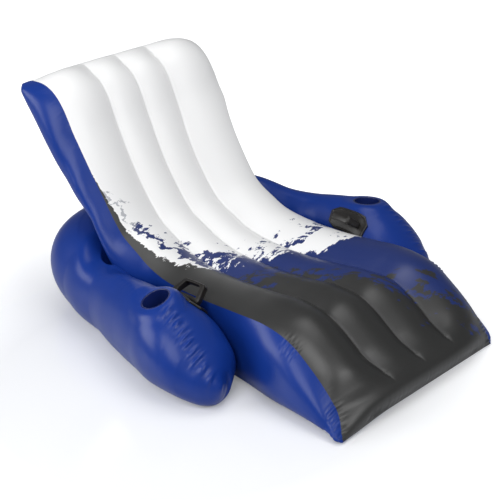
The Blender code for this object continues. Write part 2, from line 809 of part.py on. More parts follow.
def build():
    """Makes every piece of the chair, in its place."""
    clear_scene()
    white = make_material("white printed vinyl", (0.85, 0.85, 0.86), 0.35)
    blue = make_material("blue vinyl", (0.02, 0.06, 0.35), 0.28)
    clear = make_material("clear vinyl", (0.75, 0.78, 0.80), 0.2)
    black = make_material("black moulded vinyl", (0.015, 0.015, 0.018), 0.4)

    recliner, top, back = recliner_surface()
    middle = len(across_shares()) // 2
    panel_from(recliner, 0, "recliner_top_panel", white)
    back_panel = panel_from(recliner, 1, "recliner_back_panel", blue)
    panel_from(recliner, 2, "recliner_side_panel_left", blue)
    panel_from(recliner, 3, "recliner_side_panel_right", blue)
    inner = flute_columns[1]
    for name, column in (("left", middle - inner), ("middle", middle), ("right", middle + inner)):
        tension_web("tension_web_" + name, column, top, back, clear)

    arms = arm_surface()
    recliner_tree, arm_tree = BVHTree.FromBMesh(recliner), BVHTree.FromBMesh(arms)
    outer_panel = panel_from(arms, 0, "arm_outer_panel", blue)
    inner_panel = panel_from(arms, 1, "arm_inner_panel", blue)
    rim = cup_radius + cup_rim_width + fit_gap
    for side, word in ((-1, "left"), (1, "right")):
        plug = lathe([(0, -cut_reach), (rim, -cut_reach), (rim, cut_reach), (0, cut_reach)], round_segments)
        cutter = hidden_cutter("cup hole " + word, plug, cup_frame(side))
        cut_hole(outer_panel, cutter)
        cut_hole(inner_panel, cutter)
        cup_holder(side, "cup_holder_" + word, blue)
        handle_patch(arm_tree, side, "handle_patch_" + word, black)
        handle_grip(arm_tree, side, "handle_grip_" + word, black)
        joining_strip(recliner_tree, arm_tree, side, "joining_strip_" + word, blue)

    on_back = back_frame(recliner_tree, recliner_valve_share, recliner_valve_across)
    valve("recliner_valve", on_back, back_panel, clear)
    valve("arm_valve", arm_frame(arm_tree, arm_valve_station, arm_valve_angle), outer_panel, clear)
    recliner.free()
    arms.free()


build()
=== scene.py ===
# %% [markdown]
# # Dressing an inflatable pool chair
# The chair is two air chambers welded from vinyl film: a ribbed recliner to lie on, and a U-shaped tube that makes
# the arms. The solids of the CAD model give every piece its place and a coarse shape. This lesson puts a fine skin
# on them, with the puckers that film makes at a weld, and gives each material its finish.

# %% Load the solids
import functools
import math

import bmesh
import bpy
from mathutils import Matrix, Vector, noise
from mathutils.bvhtree import BVHTree


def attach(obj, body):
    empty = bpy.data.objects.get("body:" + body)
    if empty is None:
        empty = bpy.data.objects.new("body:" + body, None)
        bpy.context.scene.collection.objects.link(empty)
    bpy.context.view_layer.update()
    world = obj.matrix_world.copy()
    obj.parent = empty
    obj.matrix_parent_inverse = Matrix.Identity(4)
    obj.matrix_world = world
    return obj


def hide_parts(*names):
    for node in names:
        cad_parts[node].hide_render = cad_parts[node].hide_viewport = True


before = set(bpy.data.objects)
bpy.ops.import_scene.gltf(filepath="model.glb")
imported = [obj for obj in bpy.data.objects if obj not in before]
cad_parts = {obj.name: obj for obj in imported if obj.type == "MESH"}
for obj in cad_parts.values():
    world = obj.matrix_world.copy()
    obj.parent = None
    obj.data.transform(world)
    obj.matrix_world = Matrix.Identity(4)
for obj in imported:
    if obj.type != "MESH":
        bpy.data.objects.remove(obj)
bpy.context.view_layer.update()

# %% [markdown]
# ## The camera
# The camera comes first, because everything after it is judged through it. It stands in front of the foot, to the
# sitter's right, and looks down on the chair. A long lens keeps the two arms nearly the same size. The camera's
# axes are worked out from the two angles and written into its matrix.


# %% Helper for objects
def new_object(name, data):
    """A new object in the scene."""
    made = bpy.data.objects.new(name, data)
    bpy.context.scene.collection.objects.link(made)
    return made


# %% Place the camera
view_azimuth, view_elevation = math.radians(-46.71), math.radians(25.62)
camera_place = (-3.069, -2.8637, 2.2744)
sensor_width_mm, focal_length_mm = 36, 93.6
toward_camera = Vector((
    math.sin(view_azimuth) * math.cos(view_elevation),
    -math.cos(view_azimuth) * math.cos(view_elevation),
    math.sin(view_elevation),
))
camera_right = Vector((math.cos(view_azimuth), math.sin(view_azimuth), 0))
lens = bpy.data.cameras.new("view")
lens.sensor_width = sensor_width_mm
lens.lens = focal_length_mm
camera = new_object("view", lens)
camera.matrix_world = (
    Matrix.Translation(camera_place)
    @ Matrix((camera_right, toward_camera.cross(camera_right), toward_camera)).transposed().to_4x4()
)
bpy.context.scene.camera = camera
bpy.context.scene.view_settings.view_transform = "Standard"
print("camera", round(Vector(camera_place).length, 2), "m from the chair's middle")

# %% [markdown]
# ## Curves through a few stations
# A welded chamber is cut from flat film, but once it is full its shape changes slowly along its length. So a few
# stations say enough: a smooth curve runs through their points, and a second kind of curve, which never overshoots,
# gives widths and heights in between. These are the same stations as the solids have.


# %% Helpers for curves
def smooth_curve(points, station):
    """A point of the Catmull-Rom curve through the points, at a station counted in points."""
    last = len(points) - 1
    index = min(max(int(math.floor(station)), 0), last - 1)
    part = station - index
    p1, p2 = Vector(points[index]), Vector(points[index + 1])
    p0 = Vector(points[index - 1]) if index > 0 else 2 * p1 - p2
    p3 = Vector(points[index + 2]) if index + 2 <= last else 2 * p2 - p1
    square, cube = part * part, part * part * part
    return 0.5 * (
        2 * p1 + (p2 - p0) * part + (2 * p0 - 5 * p1 + 4 * p2 - p3) * square + (3 * p1 - p0 - 3 * p2 + p3) * cube
    )


def share_at(pairs, share):
    """The value at a share of the length, on a smooth curve through the pairs that never overshoots."""
    last = len(pairs) - 1
    index = next((k for k in range(last) if share <= pairs[k + 1][0]), last - 1)

    def slope(k):
        return (pairs[k + 1][1] - pairs[k][1]) / (pairs[k + 1][0] - pairs[k][0])

    def tangent(k):
        if k == 0 or k == last:
            return slope(min(k, last - 1))
        before, after = slope(k - 1), slope(k)
        return 2 * before * after / (before + after) if before * after > 0 else 0.0

    (x0, y0), (x1, y1) = pairs[index], pairs[index + 1]
    run = x1 - x0
    t = min(max((share - x0) / run, 0.0), 1.0)
    return (
        y0 * (1 + 2 * t) * (1 - t) ** 2 + tangent(index) * run * t * (1 - t) ** 2
        + y1 * t * t * (3 - 2 * t) + tangent(index + 1) * run * t * t * (t - 1)
    )


def lengths_along(points):
    """Length from the first point of a line to each of its points."""
    lengths = [0.0]
    for before, after in zip(points, points[1:]):
        lengths.append(lengths[-1] + math.dist(before, after))
    return lengths


def between(table, share):
    """The value at a share of a table of even entries."""
    place = min(max(share, 0.0), 1.0) * (len(table) - 1)
    index = min(int(place), len(table) - 2)
    return table[index] + (table[index + 1] - table[index]) * (place - index)


# %% [markdown]
# ## The recliner's shape
# The lying surface and the back panel meet the side panels at two seams on each side. Seen from the side, those
# seams are the two curves below. Three more seams run down the middle and hold the top to webs inside, so the air
# pushes the film up between them into four ribs. At the foot these seams stop short, and the film rolls over in one
# smooth front.
#
# Full film also gives way where something bends it. The backrest hangs back a little under its own weight, its far
# edge is drawn in at the bend, and the side panels puff out there, over the arms. A cloth simulation could find such
# shapes, but each new setting would move them. Short tables of depths along the chair keep them in their places.

# %% Recliner measures
front_place, body_length, body_height = -0.757, 1.54, 0.82
foot_half_width, side_bulge, dish_depth, foot_roll = 0.394, 0.052, 0.036, 0.030
inner_crown, outer_crown, back_crown = 0.026, 0.044, 0.022
tip_radius = 0.030
corner_pull = (-0.035, -0.014)
rib_seam = 0.415
rib_seam_drift = 0.19
sag_back, sag_down, underside_sag = 0.85, 0.5, 0.35
side_squareness, top_squareness, puff_squareness = 3, 2.1, 2.2
far_foot_slack, far_back_slack, far_puff = 0.40, 0.55, 0.3
top_seam = [
    (0.000, 0.010), (0.019, 0.071), (0.055, 0.149), (0.104, 0.224), (0.162, 0.290), (0.234, 0.317),
    (0.325, 0.307), (0.429, 0.293), (0.539, 0.298), (0.617, 0.348), (0.675, 0.442), (0.727, 0.571),
    (0.779, 0.705), (0.825, 0.824), (0.870, 0.927), (0.929, 0.990), (1.000, 0.990),
]
back_seam = [
    (0.000, 0.010), (0.019, 0.015), (0.058, 0.015), (0.110, 0.015), (0.169, 0.015), (0.240, 0.015),
    (0.325, 0.015), (0.422, 0.015), (0.519, 0.015), (0.604, 0.037), (0.675, 0.152), (0.734, 0.323),
    (0.789, 0.478), (0.860, 0.622), (0.929, 0.762), (0.981, 0.884), (1.000, 0.990),
]
top_widths = [(0.0, 1.0), (0.3, 0.975), (0.5, 0.93), (1.0, 0.93)]
back_widths = [
    (0.0, 1.0), (0.06, 1.04), (0.25, 1.035), (0.36, 0.965), (0.45, 0.91), (0.56, 0.80), (0.63, 0.67),
    (0.69, 0.67), (0.77, 0.93), (0.82, 0.95), (1.0, 0.93),
]
side_bulges = [
    (0.0, 0.10), (0.04, 0.55), (0.12, 0.95), (0.20, 1.00), (0.29, 0.80), (0.38, 0.20), (0.56, 0.22), (0.64, 0.42),
    (0.69, 0.55), (0.76, 0.93), (0.84, 1.17), (0.96, 1.04), (1.0, 0.35),
]
dishes = [
    (0.0, 0.0), (0.06, -0.85), (0.12, -0.50), (0.25, -0.45), (0.31, 0.15), (0.4, 0.45), (0.5, 0.5),
    (0.6, 0.75), (0.69, 1.05), (0.76, 0.85), (0.84, 0.40), (0.93, 0.10), (1.0, 0.0),
]
bend_puffs = [
    (0.0, 0.0), (0.52, 0.0), (0.56, 0.026), (0.60, 0.062), (0.635, 0.078), (0.665, 0.076), (0.69, 0.070),
    (0.72, 0.053), (0.745, 0.029), (0.77, 0.009), (0.80, 0.0), (1.0, 0.0),
]
sags = [
    (0.0, 0.0), (0.57, 0.0), (0.63, 0.022), (0.70, 0.026), (0.80, 0.025), (0.85, 0.016), (0.92, 0.0), (1.0, 0.0),
]
far_draws = [
    (0.0, 0.0), (0.48, 0.0), (0.56, 0.028), (0.62, 0.037), (0.67, 0.034), (0.71, 0.029), (0.75, 0.018), (0.80, 0.0),
    (1.0, 0.0),
]
rib_depths = [(0.0, 0.0), (0.070, 0.0), (0.106, 0.55), (0.15, 1.0), (0.93, 1.0), (0.985, 0.0), (1.0, 0.0)]
rolls = [
    (0.0, 0.0), (0.008, 0.36), (0.02, 0.58), (0.04, 0.78), (0.07, 0.93), (0.12, 1.0), (0.85, 0.8), (0.96, 0.8),
    (1.0, 0.0),
]


# %% Recliner surface
@functools.cache
def seam_point(top, share):
    """Place and height of a side seam at a share of the recliner's stations."""
    shares = top_seam if top else back_seam
    place, height = smooth_curve([(*pair, 0) for pair in shares], share * (len(shares) - 1)).xy
    sag = share_at(sags, share) * (1.0 if top else underside_sag)
    return front_place + place * body_length + sag_back * sag, height * body_height - sag_down * sag


@functools.cache
def seam_normal(top, share, step=0.0156):
    """The unit normal of a side seam, in its own upright plane, from two points a step away."""
    y0, z0 = seam_point(top, max(share - step, 0.0))
    y1, z1 = seam_point(top, min(share + step, 1.0))
    reach = math.hypot(y1 - y0, z1 - z0)
    return -(z1 - z0) / reach, (y1 - y0) / reach


def rib_height(across, crowns):
    """Crown of the rib that holds this across share, with sharp valleys at the seams."""
    for start, end, crown in zip((-1, -rib_seam, 0, rib_seam), (-rib_seam, 0, rib_seam, 1), crowns):
        if across <= end:
            part = (across - start) / (end - start)
            return crown * 4 * part * (1 - part)
    return 0.0


@functools.cache
def recliner_row(share):
    """What does not change across a row: seams, normals, widths and the depth of ribs, roll and dish."""
    return {
        "top": seam_point(True, share), "top_normal": seam_normal(True, share),
        "back": seam_point(False, share), "back_normal": seam_normal(False, share),
        "top_width": foot_half_width * share_at(top_widths, share),
        "back_width": foot_half_width * share_at(back_widths, share),
        "ribs": share_at(rib_depths, share), "roll": share_at(rolls, share),
        "dish": dish_depth * share_at(dishes, share), "bulge": side_bulge * share_at(side_bulges, share),
    }


def eased(point, share, across):
    """Rounds the tip of the backrest, draws its far edge in and pulls the near corner of the foot out."""
    tip_y = front_place + body_length - tip_radius
    tip_z = top_seam[-1][1] * body_height - tip_radius
    beyond = Vector((point.y - tip_y, point.z - tip_z))
    if beyond.x > 0 and beyond.y > 0 and beyond.length > tip_radius:
        beyond = beyond.normalized() * tip_radius
        point.y, point.z = tip_y + beyond.x, tip_z + beyond.y
    pull = bump(share, -1, 0.004, 0.085) * bump(-across, 1, 2, 0.55)
    point.x -= share_at(far_draws, share) * (0.5 + 0.5 * across) ** 2
    return point + Vector((*corner_pull, 0)) * pull


def top_point(share, across):
    """A point of the lying surface: across runs from -1 to 1 between the side seams."""
    row = recliner_row(share)
    (y, z), (ny, nz), ribs, roll = row["top"], row["top_normal"], row["ribs"], row["roll"]
    rise = rib_height(across, (outer_crown, inner_crown, inner_crown, outer_crown)) * ribs * roll
    rise += foot_roll * roll * (1 - ribs) * (1 - across**4)
    outside = max(abs(across) - rib_seam, 0.0) / (1 - rib_seam)
    rise -= row["dish"] * (1 - outside * outside)
    drift = rib_seam_drift * bump(share, 0.17, 0.24, 0.09) * (1 - across**2) * (1 - across) ** 2 / 4
    return eased(Vector((row["top_width"] * (across - drift), y + ny * rise, z + nz * rise)), share, across)


def back_point(share, across):
    """A point of the underside and back, pressed flat on the floor."""
    row = recliner_row(share)
    (y, z), (ny, nz) = row["back"], row["back_normal"]
    rise = rib_height(across, (back_crown,) * 4) * row["ribs"]
    return eased(Vector((row["back_width"] * across, y - ny * rise, max(z - nz * rise, 0.0))), share, across)


def side_point(share, down, side):
    """A point of a side panel: down runs from the lying surface's seam to the underside's."""
    from_middle = abs(2 * down - 1)
    squareness = side_squareness + (top_squareness - side_squareness) * bump(share, 0.76, 1.0, 0.14)
    full = 1 - from_middle**squareness
    puff = share_at(bend_puffs, share)
    if side > 0:
        # The far side is slacker, and flat towards its seams at the foot and at the top of the backrest.
        flat = max(bump(share, 0.80, 1.0, 0.09), bump(share, 0.0, 0.30, 0.09))
        full += (math.sin(math.pi * down) ** 2 - full) * flat
        full *= 1 - far_foot_slack * bump(share, 0.0, 0.22, 0.12) - far_back_slack * bump(share, 0.62, 1.0, 0.10)
        puff *= far_puff * bump(share, -1, 0.66, 0.09)
    bulge = recliner_row(share)["bulge"] * full + puff * (1 - from_middle**puff_squareness)
    return top_point(share, side).lerp(back_point(share, side), down) + Vector((side * bulge, 0, 0))


# %% [markdown]
# ## The arms' shape
# The arm chamber is one long tube bent into a U. Upright ellipses across its path give its thickness: fat at the
# two noses, slim beside the sitter, and fat again behind the backrest. The floor presses it flat underneath, and
# the film is drawn level round each cup.

# %% Arm measures
arm_path_half = [
    (0.525, -0.358, 0.070, 0.012, 0.012), (0.530, -0.343, 0.074, 0.062, 0.058), (0.532, -0.311, 0.089, 0.101, 0.089),
    (0.530, -0.263, 0.111, 0.130, 0.112), (0.530, -0.199, 0.135, 0.143, 0.136), (0.532, -0.122, 0.152, 0.142, 0.152),
    (0.524, -0.042, 0.154, 0.122, 0.154), (0.510, 0.048, 0.150, 0.106, 0.150), (0.484, 0.148, 0.144, 0.102, 0.144),
    (0.446, 0.253, 0.145, 0.105, 0.145), (0.398, 0.391, 0.158, 0.134, 0.158), (0.285, 0.536, 0.172, 0.166, 0.172),
    (0.000, 0.598, 0.165, 0.160, 0.165),
]
arm_path = [(-x, *rest) for x, *rest in arm_path_half] + arm_path_half[-2::-1]
arm_last = len(arm_path) - 1
floor_press = 0.003
nose_roundness = 0.66
cup_radius, cup_depth, cup_wall, cup_foot_radius = 0.0480, 0.100, 0.0025, 0.039
cup_rim_width, cup_rim_thickness = 0.0040, 0.0040
cup_flat_width, cup_land_width = 0.004, 0.052
cup_centre = (0.550, -0.067, 0.300)
cup_lean = {-1: (0.33, 0.19, 0.92), 1: (0.09, 0.08, 0.99)}


# %% Arm surface
@functools.cache
def arm_section(station, step=0.05):
    """Centre, outward direction and half sizes of the arm tube at a station."""
    centre = smooth_curve([row[:3] for row in arm_path], station)
    from_end = min(station, arm_last - station)
    sizes = smooth_curve([(row[3], row[4], 0) for row in arm_path], min(max(station, 1), arm_last - 1))
    if from_end < 1:
        sizes = sizes * from_end**nose_roundness
    before = smooth_curve([row[:3] for row in arm_path], max(station - step, 0))
    after = smooth_curve([row[:3] for row in arm_path], min(station + step, arm_last))
    ahead = (after - before).to_2d().normalized()
    return centre, Vector((-ahead.y, ahead.x, 0)), sizes.x, sizes.y


@functools.cache
def cup_frame(side):
    """Matrix whose Z is a cup's axis and whose origin is the middle of its rim, and its inverse."""
    lean = Vector(cup_lean[side]).normalized()
    axis = Vector((side * lean.x, lean.y, lean.z))
    turn = Vector((0, 0, 1)).rotation_difference(axis).to_matrix().to_4x4()
    place = Matrix.Translation((side * cup_centre[0], cup_centre[1], cup_centre[2])) @ turn
    return place, place.inverted()


def cup_reach(point):
    """How far a point is from the nearer cup's axis, with that cup's frame and the point in it."""
    place, back = cup_frame(-1 if point.x < 0 else 1)
    local = back @ point
    return math.hypot(local.x, local.y), place, local


def arm_point(station, angle):
    """A point of the arm's skin: the angle runs from outward, over the top, to inward."""
    centre, outward, half_width, half_height = arm_section(station)
    point = centre + outward * (half_width * math.cos(angle)) + Vector((0, 0, half_height * math.sin(angle)))
    point.z = max(point.z - floor_press, 0.0)
    reach, place, local = cup_reach(point)
    edge = cup_radius + cup_rim_width + cup_flat_width
    if local.z > -cup_depth / 2 and reach < edge + cup_land_width:
        part = min((edge + cup_land_width - reach) / cup_land_width, 1.0)
        local.z *= 1 - part * part * (3 - 2 * part)
        return place @ local
    return point


# %% [markdown]
# ## Puckers
# Film is welded flat. Where the full chamber bends a weld, the film has more length than the bend needs, and it
# gathers in short sharp puckers across the seam. Each pucker is deepest at the weld and dies out within a few
# centimetres. They are moved into the mesh and not painted, so they catch the light from every side.


# %% Helpers for relief
def puckers(along, away, pitch, reach, depth, seed, power=2):
    """Height of the puckers at a distance along a seam and away from it: ridges, sharper for a higher power."""
    phase = along / pitch + 0.5 * noise.noise(Vector((along / pitch * 0.5, seed, 0)))
    number = math.floor(phase + 0.5)
    strength = max(0.9 + 0.7 * noise.noise(Vector((number * 2.3, seed, 7.7))), 0.3)
    length = reach * (1.0 + 0.6 * noise.noise(Vector((number * 1.7, seed, 3.1))))
    ridge = abs(math.cos(math.pi * (phase - number))) ** power
    return depth * strength * ridge * math.exp(-((away / length) ** 2))


def bump(value, low, high, edge):
    """1 between low and high, falling smoothly to 0 over the edge outside them."""
    if value < low:
        part = max(1 - (low - value) / edge, 0.0)
    elif value > high:
        part = max(1 - (value - high) / edge, 0.0)
    else:
        return 1.0
    return part * part * (3 - 2 * part)


def ripple(point, size, depth, seed):
    """The slight unevenness of full film."""
    return depth * noise.noise(point / size + Vector((seed, seed, seed)))


# %% [markdown]
# ## Skins that share their seams
# The panels of a chamber meet in seams, so they are made together. Each panel is laid out as a flat grid, its points
# are put on the surface, and every point remembers how far its relief lifts it. Then the grids are welded along
# their shared edges, and only after that the points move out along the normals of the whole chamber. So two panels
# meet exactly at every pucker. At the end the chamber is taken apart into its panels again.


# %% Helpers for skins
def new_chamber():
    """An empty chamber with the layers that its panels need."""
    chamber = bmesh.new()
    chamber.loops.layers.uv.new("sheet")
    chamber.faces.layers.int.new("panel")
    chamber.verts.layers.float.new("rise")
    return chamber


def lay_panel(chamber, number, columns, rows, place, relief, sheet):
    """Lays a grid on the surface: place(p, q) puts a point, relief(p, q, point) lifts it, sheet(p, q) is its UV."""
    uv = chamber.loops.layers.uv["sheet"]
    panel = chamber.faces.layers.int["panel"]
    rise = chamber.verts.layers.float["rise"]
    grid = bmesh.ops.create_grid(chamber, x_segments=columns, y_segments=rows, size=0.5)["verts"]
    spots = {v: (v.co.x + 0.5, v.co.y + 0.5) for v in grid}
    for face in {face for v in grid for face in v.link_faces}:
        face[panel] = number
        for loop in face.loops:
            loop[uv].uv = sheet(*spots[loop.vert])
    for v, (p, q) in spots.items():
        v.co = place(p, q)
        v[rise] = relief(p, q, v.co)


def inflate(chamber):
    """Welds the panels' shared edges and moves every point out by its relief, but never into the floor."""
    bmesh.ops.remove_doubles(chamber, verts=chamber.verts, dist=1e-5)
    bmesh.ops.dissolve_degenerate(chamber, edges=chamber.edges, dist=1e-6)
    bmesh.ops.recalc_face_normals(chamber, faces=chamber.faces)
    chamber.normal_update()
    rise = chamber.verts.layers.float["rise"]
    raised = [(v, v.co + v.normal * v[rise]) for v in chamber.verts]
    for v, point in raised:
        v.co = Vector((point.x, point.y, max(point.z, 0.0)))
    print("chamber of", len(chamber.faces), "faces,", sum(e.is_boundary for e in chamber.edges), "open edges")


def take_panel(chamber, number):
    """A copy of the chamber that keeps one panel."""
    film = chamber.copy()
    panel = film.faces.layers.int["panel"]
    bmesh.ops.delete(film, geom=[face for face in film.faces if face[panel] != number], context="FACES")
    return film


def add_piece(name, film, material, slot, *nodes, body="chair", wall=0.0):
    """Makes the mesh a smooth piece that stands for solids, rides on a body and may get a wall's thickness."""
    for edge in film.edges:
        edge.smooth = not edge.is_boundary
    mesh = bpy.data.meshes.new(name)
    film.to_mesh(mesh)
    film.free()
    mesh.shade_smooth()
    mesh.materials.append(material)
    piece = new_object(name, mesh)
    if wall:
        solid = piece.modifiers.new("film thickness", "SOLIDIFY")
        solid.thickness = wall
        solid.offset = -1
    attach(piece, body)
    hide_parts(*nodes)
    print(name, len(mesh.polygons), "faces")


# %% [markdown]
# ## Vinyl
# Soft PVC film has a gloss that is not quite even: it carries a fine orange-peel grain from its rollers and some
# dull rubbed patches. Every film on the chair shares that, so it is one node group that gives a height for the
# grain and a roughness. Each material sets its own colour and its own values.


# %% Node helpers
def feed(tree, value, socket):
    """Links another node's output into an input, or writes a plain value there."""
    if isinstance(value, bpy.types.NodeSocket):
        tree.links.new(value, socket)
    else:
        socket.default_value = value


def add_node(tree, kind, **values):
    """A new node with its inputs and properties set by name."""
    node = tree.nodes.new(kind)
    for key, value in values.items():
        if key in node.inputs:
            feed(tree, value, node.inputs[key])
        else:
            setattr(node, key, value)
    return node


def math_node(tree, operation, a, b=0.0, c=0.0):
    """A Math node's result for two or three values or sockets."""
    node = tree.nodes.new("ShaderNodeMath")
    node.operation = operation
    for socket, value in zip(node.inputs, (a, b, c)):
        feed(tree, value, socket)
    return node.outputs[0]


def mix_colour(tree, factor, a, b):
    """A colour mixed from a to b."""
    node = tree.nodes.new("ShaderNodeMix")
    node.data_type = "RGBA"
    for socket, value in ((node.inputs[0], factor), (node.inputs[6], a), (node.inputs[7], b)):
        feed(tree, (*value, 1.0) if isinstance(value, tuple) else value, socket)
    return node.outputs[2]


def noise_node(tree, where, scale, detail, roughness=0.5):
    """A Noise texture's value."""
    node = add_node(tree, "ShaderNodeTexNoise", Vector=where, Scale=scale, Detail=detail, Roughness=roughness)
    return node.outputs["Fac"]


def object_place(tree):
    """The place on the piece that a texture reads."""
    return add_node(tree, "ShaderNodeTexCoord").outputs["Object"]


# %% Vinyl film group
film_group = bpy.data.node_groups.new("vinyl film", "ShaderNodeTree")
for socket_name, low in (("Gloss roughness", 0.3), ("Rubbed roughness", 0.1), ("Grain depth", 0.1)):
    film_group.interface.new_socket(socket_name, in_out="INPUT", socket_type="NodeSocketFloat").default_value = low
film_group.interface.new_socket("Roughness", in_out="OUTPUT", socket_type="NodeSocketFloat")
film_group.interface.new_socket("Height", in_out="OUTPUT", socket_type="NodeSocketFloat")
film_in = film_group.nodes.new("NodeGroupInput")
film_out = film_group.nodes.new("NodeGroupOutput")
spot = object_place(film_group)
rubbed = noise_node(film_group, spot, 6.0, 5.0, 0.6)
grain = noise_node(film_group, spot, 420.0, 2.0)
waves = noise_node(film_group, spot, 14.0, 0.0)
rub = math_node(film_group, "MULTIPLY", math_node(film_group, "SUBTRACT", rubbed, 0.35), film_in.outputs[1])
film_group.links.new(math_node(film_group, "ADD", film_in.outputs[0], rub), film_out.inputs[0])
height = math_node(film_group, "ADD", math_node(film_group, "MULTIPLY", grain, film_in.outputs[2]), waves)
film_group.links.new(height, film_out.inputs[1])


def vinyl(name, colour, gloss, rub, grain_depth=0.06, bump_height=0.0006, specular=0.5):
    """A Principled material with the film group in it, and its shader. A link may replace its colour later."""
    material = bpy.data.materials.new(name)
    material.use_nodes = True
    tree = material.node_tree
    shader = tree.nodes["Principled BSDF"]
    shader.inputs["Base Color"].default_value = (*colour, 1.0)
    shader.inputs["Specular IOR Level"].default_value = specular
    film = add_node(tree, "ShaderNodeGroup", node_tree=film_group)
    for key, value in (("Gloss roughness", gloss), ("Rubbed roughness", rub), ("Grain depth", grain_depth)):
        film.inputs[key].default_value = value
    tree.links.new(film.outputs["Roughness"], shader.inputs["Roughness"])
    bumps = add_node(tree, "ShaderNodeBump", Strength=1.0, Distance=bump_height, Height=film.outputs["Height"])
    tree.links.new(bumps.outputs["Normal"], shader.inputs["Normal"])
    material.diffuse_color = (*colour, 1.0)
    return material, shader


# %% Blue, black and clear vinyl
blue_vinyl, shader = vinyl(
    "blue vinyl film", (0.008, 0.031, 0.200), gloss=0.29, rub=0.10, grain_depth=0.03, specular=0.28
)
tree = blue_vinyl.node_tree
patches = noise_node(tree, object_place(tree), 3.0, 2.0)
blues = mix_colour(tree, patches, (0.0050, 0.0290, 0.200), (0.0070, 0.0350, 0.240))
tree.links.new(blues, shader.inputs["Base Color"])
black_vinyl, _ = vinyl(
    "black moulded vinyl", (0.009, 0.0075, 0.0065), gloss=0.32, rub=0.25, grain_depth=0.3, bump_height=0.0003
)
# The cups are the same blue film as the arms. Their colour is a darker navy, painted shade for the deep inside of
# each cup, and the rim gets it too.
cup_vinyl_painted_shade, _ = vinyl("cup vinyl with painted shade", (0.006, 0.014, 0.090), gloss=0.20, rub=0.15, grain_depth=0.1, bump_height=0.0002)
clear_vinyl, shader = vinyl("clear soft vinyl", (0.80, 0.86, 0.90), gloss=0.18, rub=0.12, bump_height=0.0001)
shader.inputs["Transmission Weight"].default_value = 0.55
print("vinyl films:", [film.name for film in (blue_vinyl, black_vinyl, cup_vinyl_painted_shade, clear_vinyl)])

# %% [markdown]
# ## The print
# The film of the lying surface is white, printed charcoal at the foot and along one edge, and navy across the front
# of the seat. The three colours meet in torn-looking edges, as if rolled on with a dry brush. The print lies in the
# sheet, so it is drawn in the sheet's own UV map: U runs across and V along, both in metres. Two curves say how far
# up each colour reaches for every U, noise tears their edges, and a stretched noise near them leaves loose flecks.


# %% Print material
def reach_curve(tree, across, points):
    """How far up the sheet a colour reaches, in metres, from a curve over U. The curve itself stays under 1."""
    node = tree.nodes.new("ShaderNodeFloatCurve")
    tree.links.new(across, node.inputs["Value"])
    curve = node.mapping.curves[0]
    while len(curve.points) < len(points):
        curve.points.new(0.5, 0.5)
    for point, (u, v) in zip(curve.points, points):
        point.location = (u, v / 2)
    node.mapping.update()
    return math_node(tree, "MULTIPLY", node.outputs["Value"], 2.0)


charcoal, navy = (0.020, 0.020, 0.0195), (0.0055, 0.0200, 0.126)
white, pale = (0.84, 0.84, 0.84), (0.42, 0.43, 0.46)
printed_vinyl, print_shader = vinyl("printed vinyl film", white, gloss=0.37, rub=0.20, specular=0.60)
tree = printed_vinyl.node_tree
sheet_uv = add_node(tree, "ShaderNodeUVMap", uv_map="sheet").outputs["UV"]
split = add_node(tree, "ShaderNodeSeparateXYZ", Vector=sheet_uv)
across, along = split.outputs["X"], split.outputs["Y"]
tear_turn, stroke_turn = (0, 0, math.radians(-28)), (0, 0, math.radians(55))
stretched = add_node(tree, "ShaderNodeMapping", Vector=sheet_uv, Rotation=tear_turn, Scale=(1.0, 2.4, 1.0))
tears = noise_node(tree, stretched.outputs["Vector"], 9.0, 7.0, 0.62)
flecks = noise_node(tree, stretched.outputs["Vector"], 30.0, 4.0, 0.6)
tear = math_node(tree, "MULTIPLY", math_node(tree, "SUBTRACT", tears, 0.5), 0.30)
turned = add_node(tree, "ShaderNodeMapping", Vector=sheet_uv, Rotation=stroke_turn)
brushed = add_node(tree, "ShaderNodeMapping", Vector=turned.outputs["Vector"], Scale=(1.0, 2.8, 1.0))
strokes = noise_node(tree, brushed.outputs["Vector"], 12.0, 6.0, 0.62)
white_reach = reach_curve(tree, across, [
    (0.115, 1.60), (0.130, 1.42), (0.141, 1.30), (0.153, 1.19), (0.18, 1.04), (0.205, 0.975), (0.26, 0.915),
    (0.31, 0.885), (0.40, 0.895), (0.46, 0.87), (0.51, 0.825), (0.56, 0.80), (0.64, 0.79), (0.68, 0.71),
    (0.76, 0.68), (0.88, 0.65),
])
navy_reach = reach_curve(tree, across, [
    (0.12, 1.60), (0.27, 1.10), (0.30, 0.86), (0.33, 0.80), (0.371, 0.75), (0.419, 0.69), (0.50, 0.645),
    (0.53, 0.545), (0.56, 0.47), (0.59, 0.35), (0.63, 0.30), (0.685, 0.30), (0.748, 0.22), (0.80, 0.135),
    (0.88, 0.12),
])
band_reach = reach_curve(tree, across, [
    (0.13, 1.34), (0.155, 1.27), (0.175, 1.225), (0.198, 1.155), (0.22, 1.105), (0.247, 1.06), (0.27, 1.015),
    (0.31, 0.975), (0.36, 0.945), (0.41, 0.92), (0.47, 0.90), (0.60, 0.87),
])
above_white = math_node(tree, "SUBTRACT", math_node(tree, "ADD", along, tear), white_reach)
wide_tear = math_node(tree, "MULTIPLY", tear, 1.8)
above_navy = math_node(tree, "SUBTRACT", math_node(tree, "ADD", along, wide_tear), navy_reach)
above_band = math_node(tree, "SUBTRACT", math_node(tree, "ADD", along, wide_tear), band_reach)


def sharp(tree, value, width):
    """0 to 1 as the value passes 0, over a width in metres."""
    node = add_node(tree, "ShaderNodeMapRange", Value=value, **{"From Min": -width, "From Max": width})
    return node.outputs["Result"]


def near(tree, value, reach):
    """1 where the value is 0, falling to 0 at the reach and going on below it."""
    return math_node(tree, "SUBTRACT", 1.0, math_node(tree, "ABSOLUTE", math_node(tree, "DIVIDE", value, reach)))


def torn(tree, pattern, closeness, gain, limit):
    """Where a pattern, helped by closeness to an edge, passes a limit."""
    helped = math_node(tree, "MULTIPLY_ADD", closeness, gain, pattern)
    return sharp(tree, math_node(tree, "SUBTRACT", helped, limit), 0.006)


